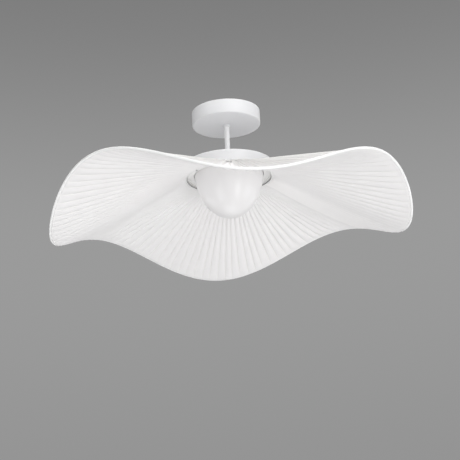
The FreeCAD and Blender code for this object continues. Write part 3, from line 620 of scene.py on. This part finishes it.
keep_finish("white_paint", coat_with_painted_rod_light)
keep_finish("white_wire", wire_coat)
keep_finish("edged_paint", coat_with_painted_gap_shade)
keep_finish("zinc_steel", zinc, metallic=1.0)
keep_finish("grub_steel", dark_steel, metallic=0.8)
keep_finish("spring_steel", rolled_steel, metallic=1.0)
keep_finish("terminal_plastic", block_plastic)
keep_finish("brass_screw", brass, metallic=1.0)
keep_finish("holder_ceramic", ceramic)
keep_finish("bulb_cover", bulb_skin)
keep_finish("pin_metal", drawn_pin, metallic=1.0)
keep_finish("opal_glass", opal, coat_weight=0.3, coat_roughness=0.22)
keep_finish("silicone", soft_rubber)
keep_finish("pleated_fabric", pleated_fabric, sheen_weight=0.15, sheen_roughness=0.5)
keep_finish("binding_tape", binding_tape, sheen_weight=0.15, sheen_roughness=0.5)


# Pieces on their bodies
def dress(piece, body, node, slot):
    """Put a finished piece on its body in the place of a CAD node, with its finish."""
    piece.data.materials.append(FINISHES[slot])
    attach(piece, body)
    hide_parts(node)
    return piece


dress(canopy_cup(), "canopy", "canopy", "white_paint")
dress(rod_tube(), "fixture", "rod", "white_paint")
dress(pan_dish(), "lamp", "pan", "white_paint")
dress(opal_dome(), "dome", "glass_dome", "opal_glass")
dress(dome_seal(), "dome", "dome_gasket", "silicone")
dress(soft_lip(), "lamp", "dust_lip", "silicone")
dress(trim_band(), "lamp", "trim_ring", "edged_paint")
tape = dress(rim_tape(), "lamp", "rim_binding", "binding_tape")
cloth = dress(pleated_cloth(), "lamp", "pleated_shade", "pleated_fabric")

for subpart in frame["record"]["subparts"]:
    node = frame["nodes"][subpart["node"]]
    node.data.materials.clear()
    node.data.materials.append(FINISHES[subpart["material_slot"]])


# Camera at the photograph's place, in millimetres and radians, and its focal length in pixels
CAMERA_PLACE, CAMERA_YAW, CAMERA_PITCH, CAMERA_ROLL = (15.9, -1579.4, -686.9), 0.012, 0.289, -0.051
PICTURE_PIXELS, FOCAL_PIXELS, SENSOR_WIDTH = 460, 964, 36.0


def camera_turn(yaw, pitch, roll):
    """Rotation whose columns are the camera's right, up and back directions."""
    ahead = np.array([-math.sin(yaw) * math.cos(pitch), math.cos(yaw) * math.cos(pitch), math.sin(pitch)])
    level = np.array([math.cos(yaw), math.sin(yaw), 0.0])
    rise = np.cross(level, ahead)
    right = math.cos(roll) * level + math.sin(roll) * rise
    up = -math.sin(roll) * level + math.cos(roll) * rise
    return Matrix(np.stack([right, up, -ahead], 1).tolist()).to_4x4()


eye = bpy.data.cameras.new("eye")
eye.sensor_width = SENSOR_WIDTH
eye.lens = SENSOR_WIDTH * FOCAL_PIXELS / PICTURE_PIXELS
camera = bpy.data.objects.new("camera", eye)
turning = camera_turn(CAMERA_YAW, CAMERA_PITCH, CAMERA_ROLL)
camera.matrix_world = Matrix.Translation(Vector(CAMERA_PLACE) * MM) @ turning
bpy.context.scene.collection.objects.link(camera)
bpy.context.scene.camera = camera

# Floor in millimetres, and lights: name, place, width, height and power, in metres and watts
FLOOR_HALF, FLOOR_HEIGHT = 6000.0, -2350.0
LIGHT_AIM = (0, 0, -0.15)
LIGHTS = [
    ("key", (1.05, -1.4, -1.25), 0.4, 1.0, 10.5),
    ("front", (0.0, -2.4, -0.5), 1.2, 1.2, 9.2),
    ("right", (1.8, -0.3, -1.0), 0.8, 0.8, 5.6),
    ("side", (2.2, 0.2, -0.5), 0.8, 0.8, 3.5),
    ("rear", (1.7, 1.2, -0.9), 0.8, 0.8, 3.9),
    ("left", (-1.2, -1.1, -1.42), 1.2, 1.2, 8.9),
    ("port", (-1.8, 0.8, -1.0), 0.8, 0.8, 4.7),
    ("high", (0.95, -1.75, 0.55), 1.0, 1.0, 9.8),
    ("top", (0.0, -0.6, 1.6), 1.6, 1.6, 27.0),
    ("under", (0.0, 0.2, -1.9), 1.0, 1.0, 5.6),
]


def floor_plane():
    """Pale floor: a square at one height, far below the lamp."""
    x, y = np.meshgrid([-FLOOR_HALF, FLOOR_HALF], [-FLOOR_HALF, FLOOR_HALF])
    points = np.stack([x, y, np.full_like(x, FLOOR_HEIGHT)], -1).reshape(-1, 3)
    mesh = bpy.data.meshes.new("floor")
    mesh.from_pydata((points * MM).tolist(), [], [(0, 1, 3, 2)])
    made = bpy.data.objects.new("floor", mesh)
    bpy.context.scene.collection.objects.link(made)
    screed = moulded(colour(0.6, 0.6, 0.6), colour(0.64, 0.64, 0.64), rough=0.8, grain=200)
    mesh.materials.append(material("pale_floor", screed))


def studio_world():
    """Even light, and to the eye a grey backdrop that darkens upwards and, a little, downwards."""
    world = bpy.data.worlds.new("studio")
    world.use_nodes = True
    tree = world.node_tree
    tree.nodes.clear()
    start = NodeValue(tree)

    def ramp(value, begin, end, low, high):
        places = {0: value, 1: begin, 2: end, 3: low, 4: high}
        return start.node("MapRange", {"interpolation_type": "SMOOTHSTEP"}, places)

    def ray(kind):
        return start.node("LightPath", output=f"Is {kind} Ray")

    seen = (ray("Camera") + ray("Glossy") + ray("Transmission")).math("MINIMUM", 1.0)
    height = start.part(start.node("TexCoord", output="Generated"), 2)
    lower = ramp(height, begin=0.0, end=0.25, low=0.295, high=0.326)
    grey = lower - ramp(height, begin=0.27, end=0.55, low=0.0, high=0.126)
    backdrop = start.node("CombineXYZ", inputs={0: grey, 1: grey, 2: grey})
    tone = seen.blend(colour(0.3, 0.3, 0.303), backdrop)
    sky = start.node("Background", inputs={"Color": tone, "Strength": 1.0})
    out = tree.nodes.new("ShaderNodeOutputWorld")
    tree.links.new(sky.socket, out.inputs["Surface"])
    bpy.context.scene.world = world


def soft_light(name, place, width, height, power):
    """Soft light of a width and height, aimed at the middle of the lamp."""
    light = bpy.data.lights.new(name, "AREA")
    light.shape, light.size, light.size_y, light.energy = "RECTANGLE", width, height, power
    made = bpy.data.objects.new(name, light)
    made.location = place
    made.rotation_mode = "QUATERNION"
    made.rotation_quaternion = (Vector(LIGHT_AIM) - made.location).to_track_quat("-Z", "Y")
    bpy.context.scene.collection.objects.link(made)


floor_plane()
studio_world()
for light in LIGHTS:
    soft_light(*light)
bpy.context.scene.view_settings.view_transform = "Standard"
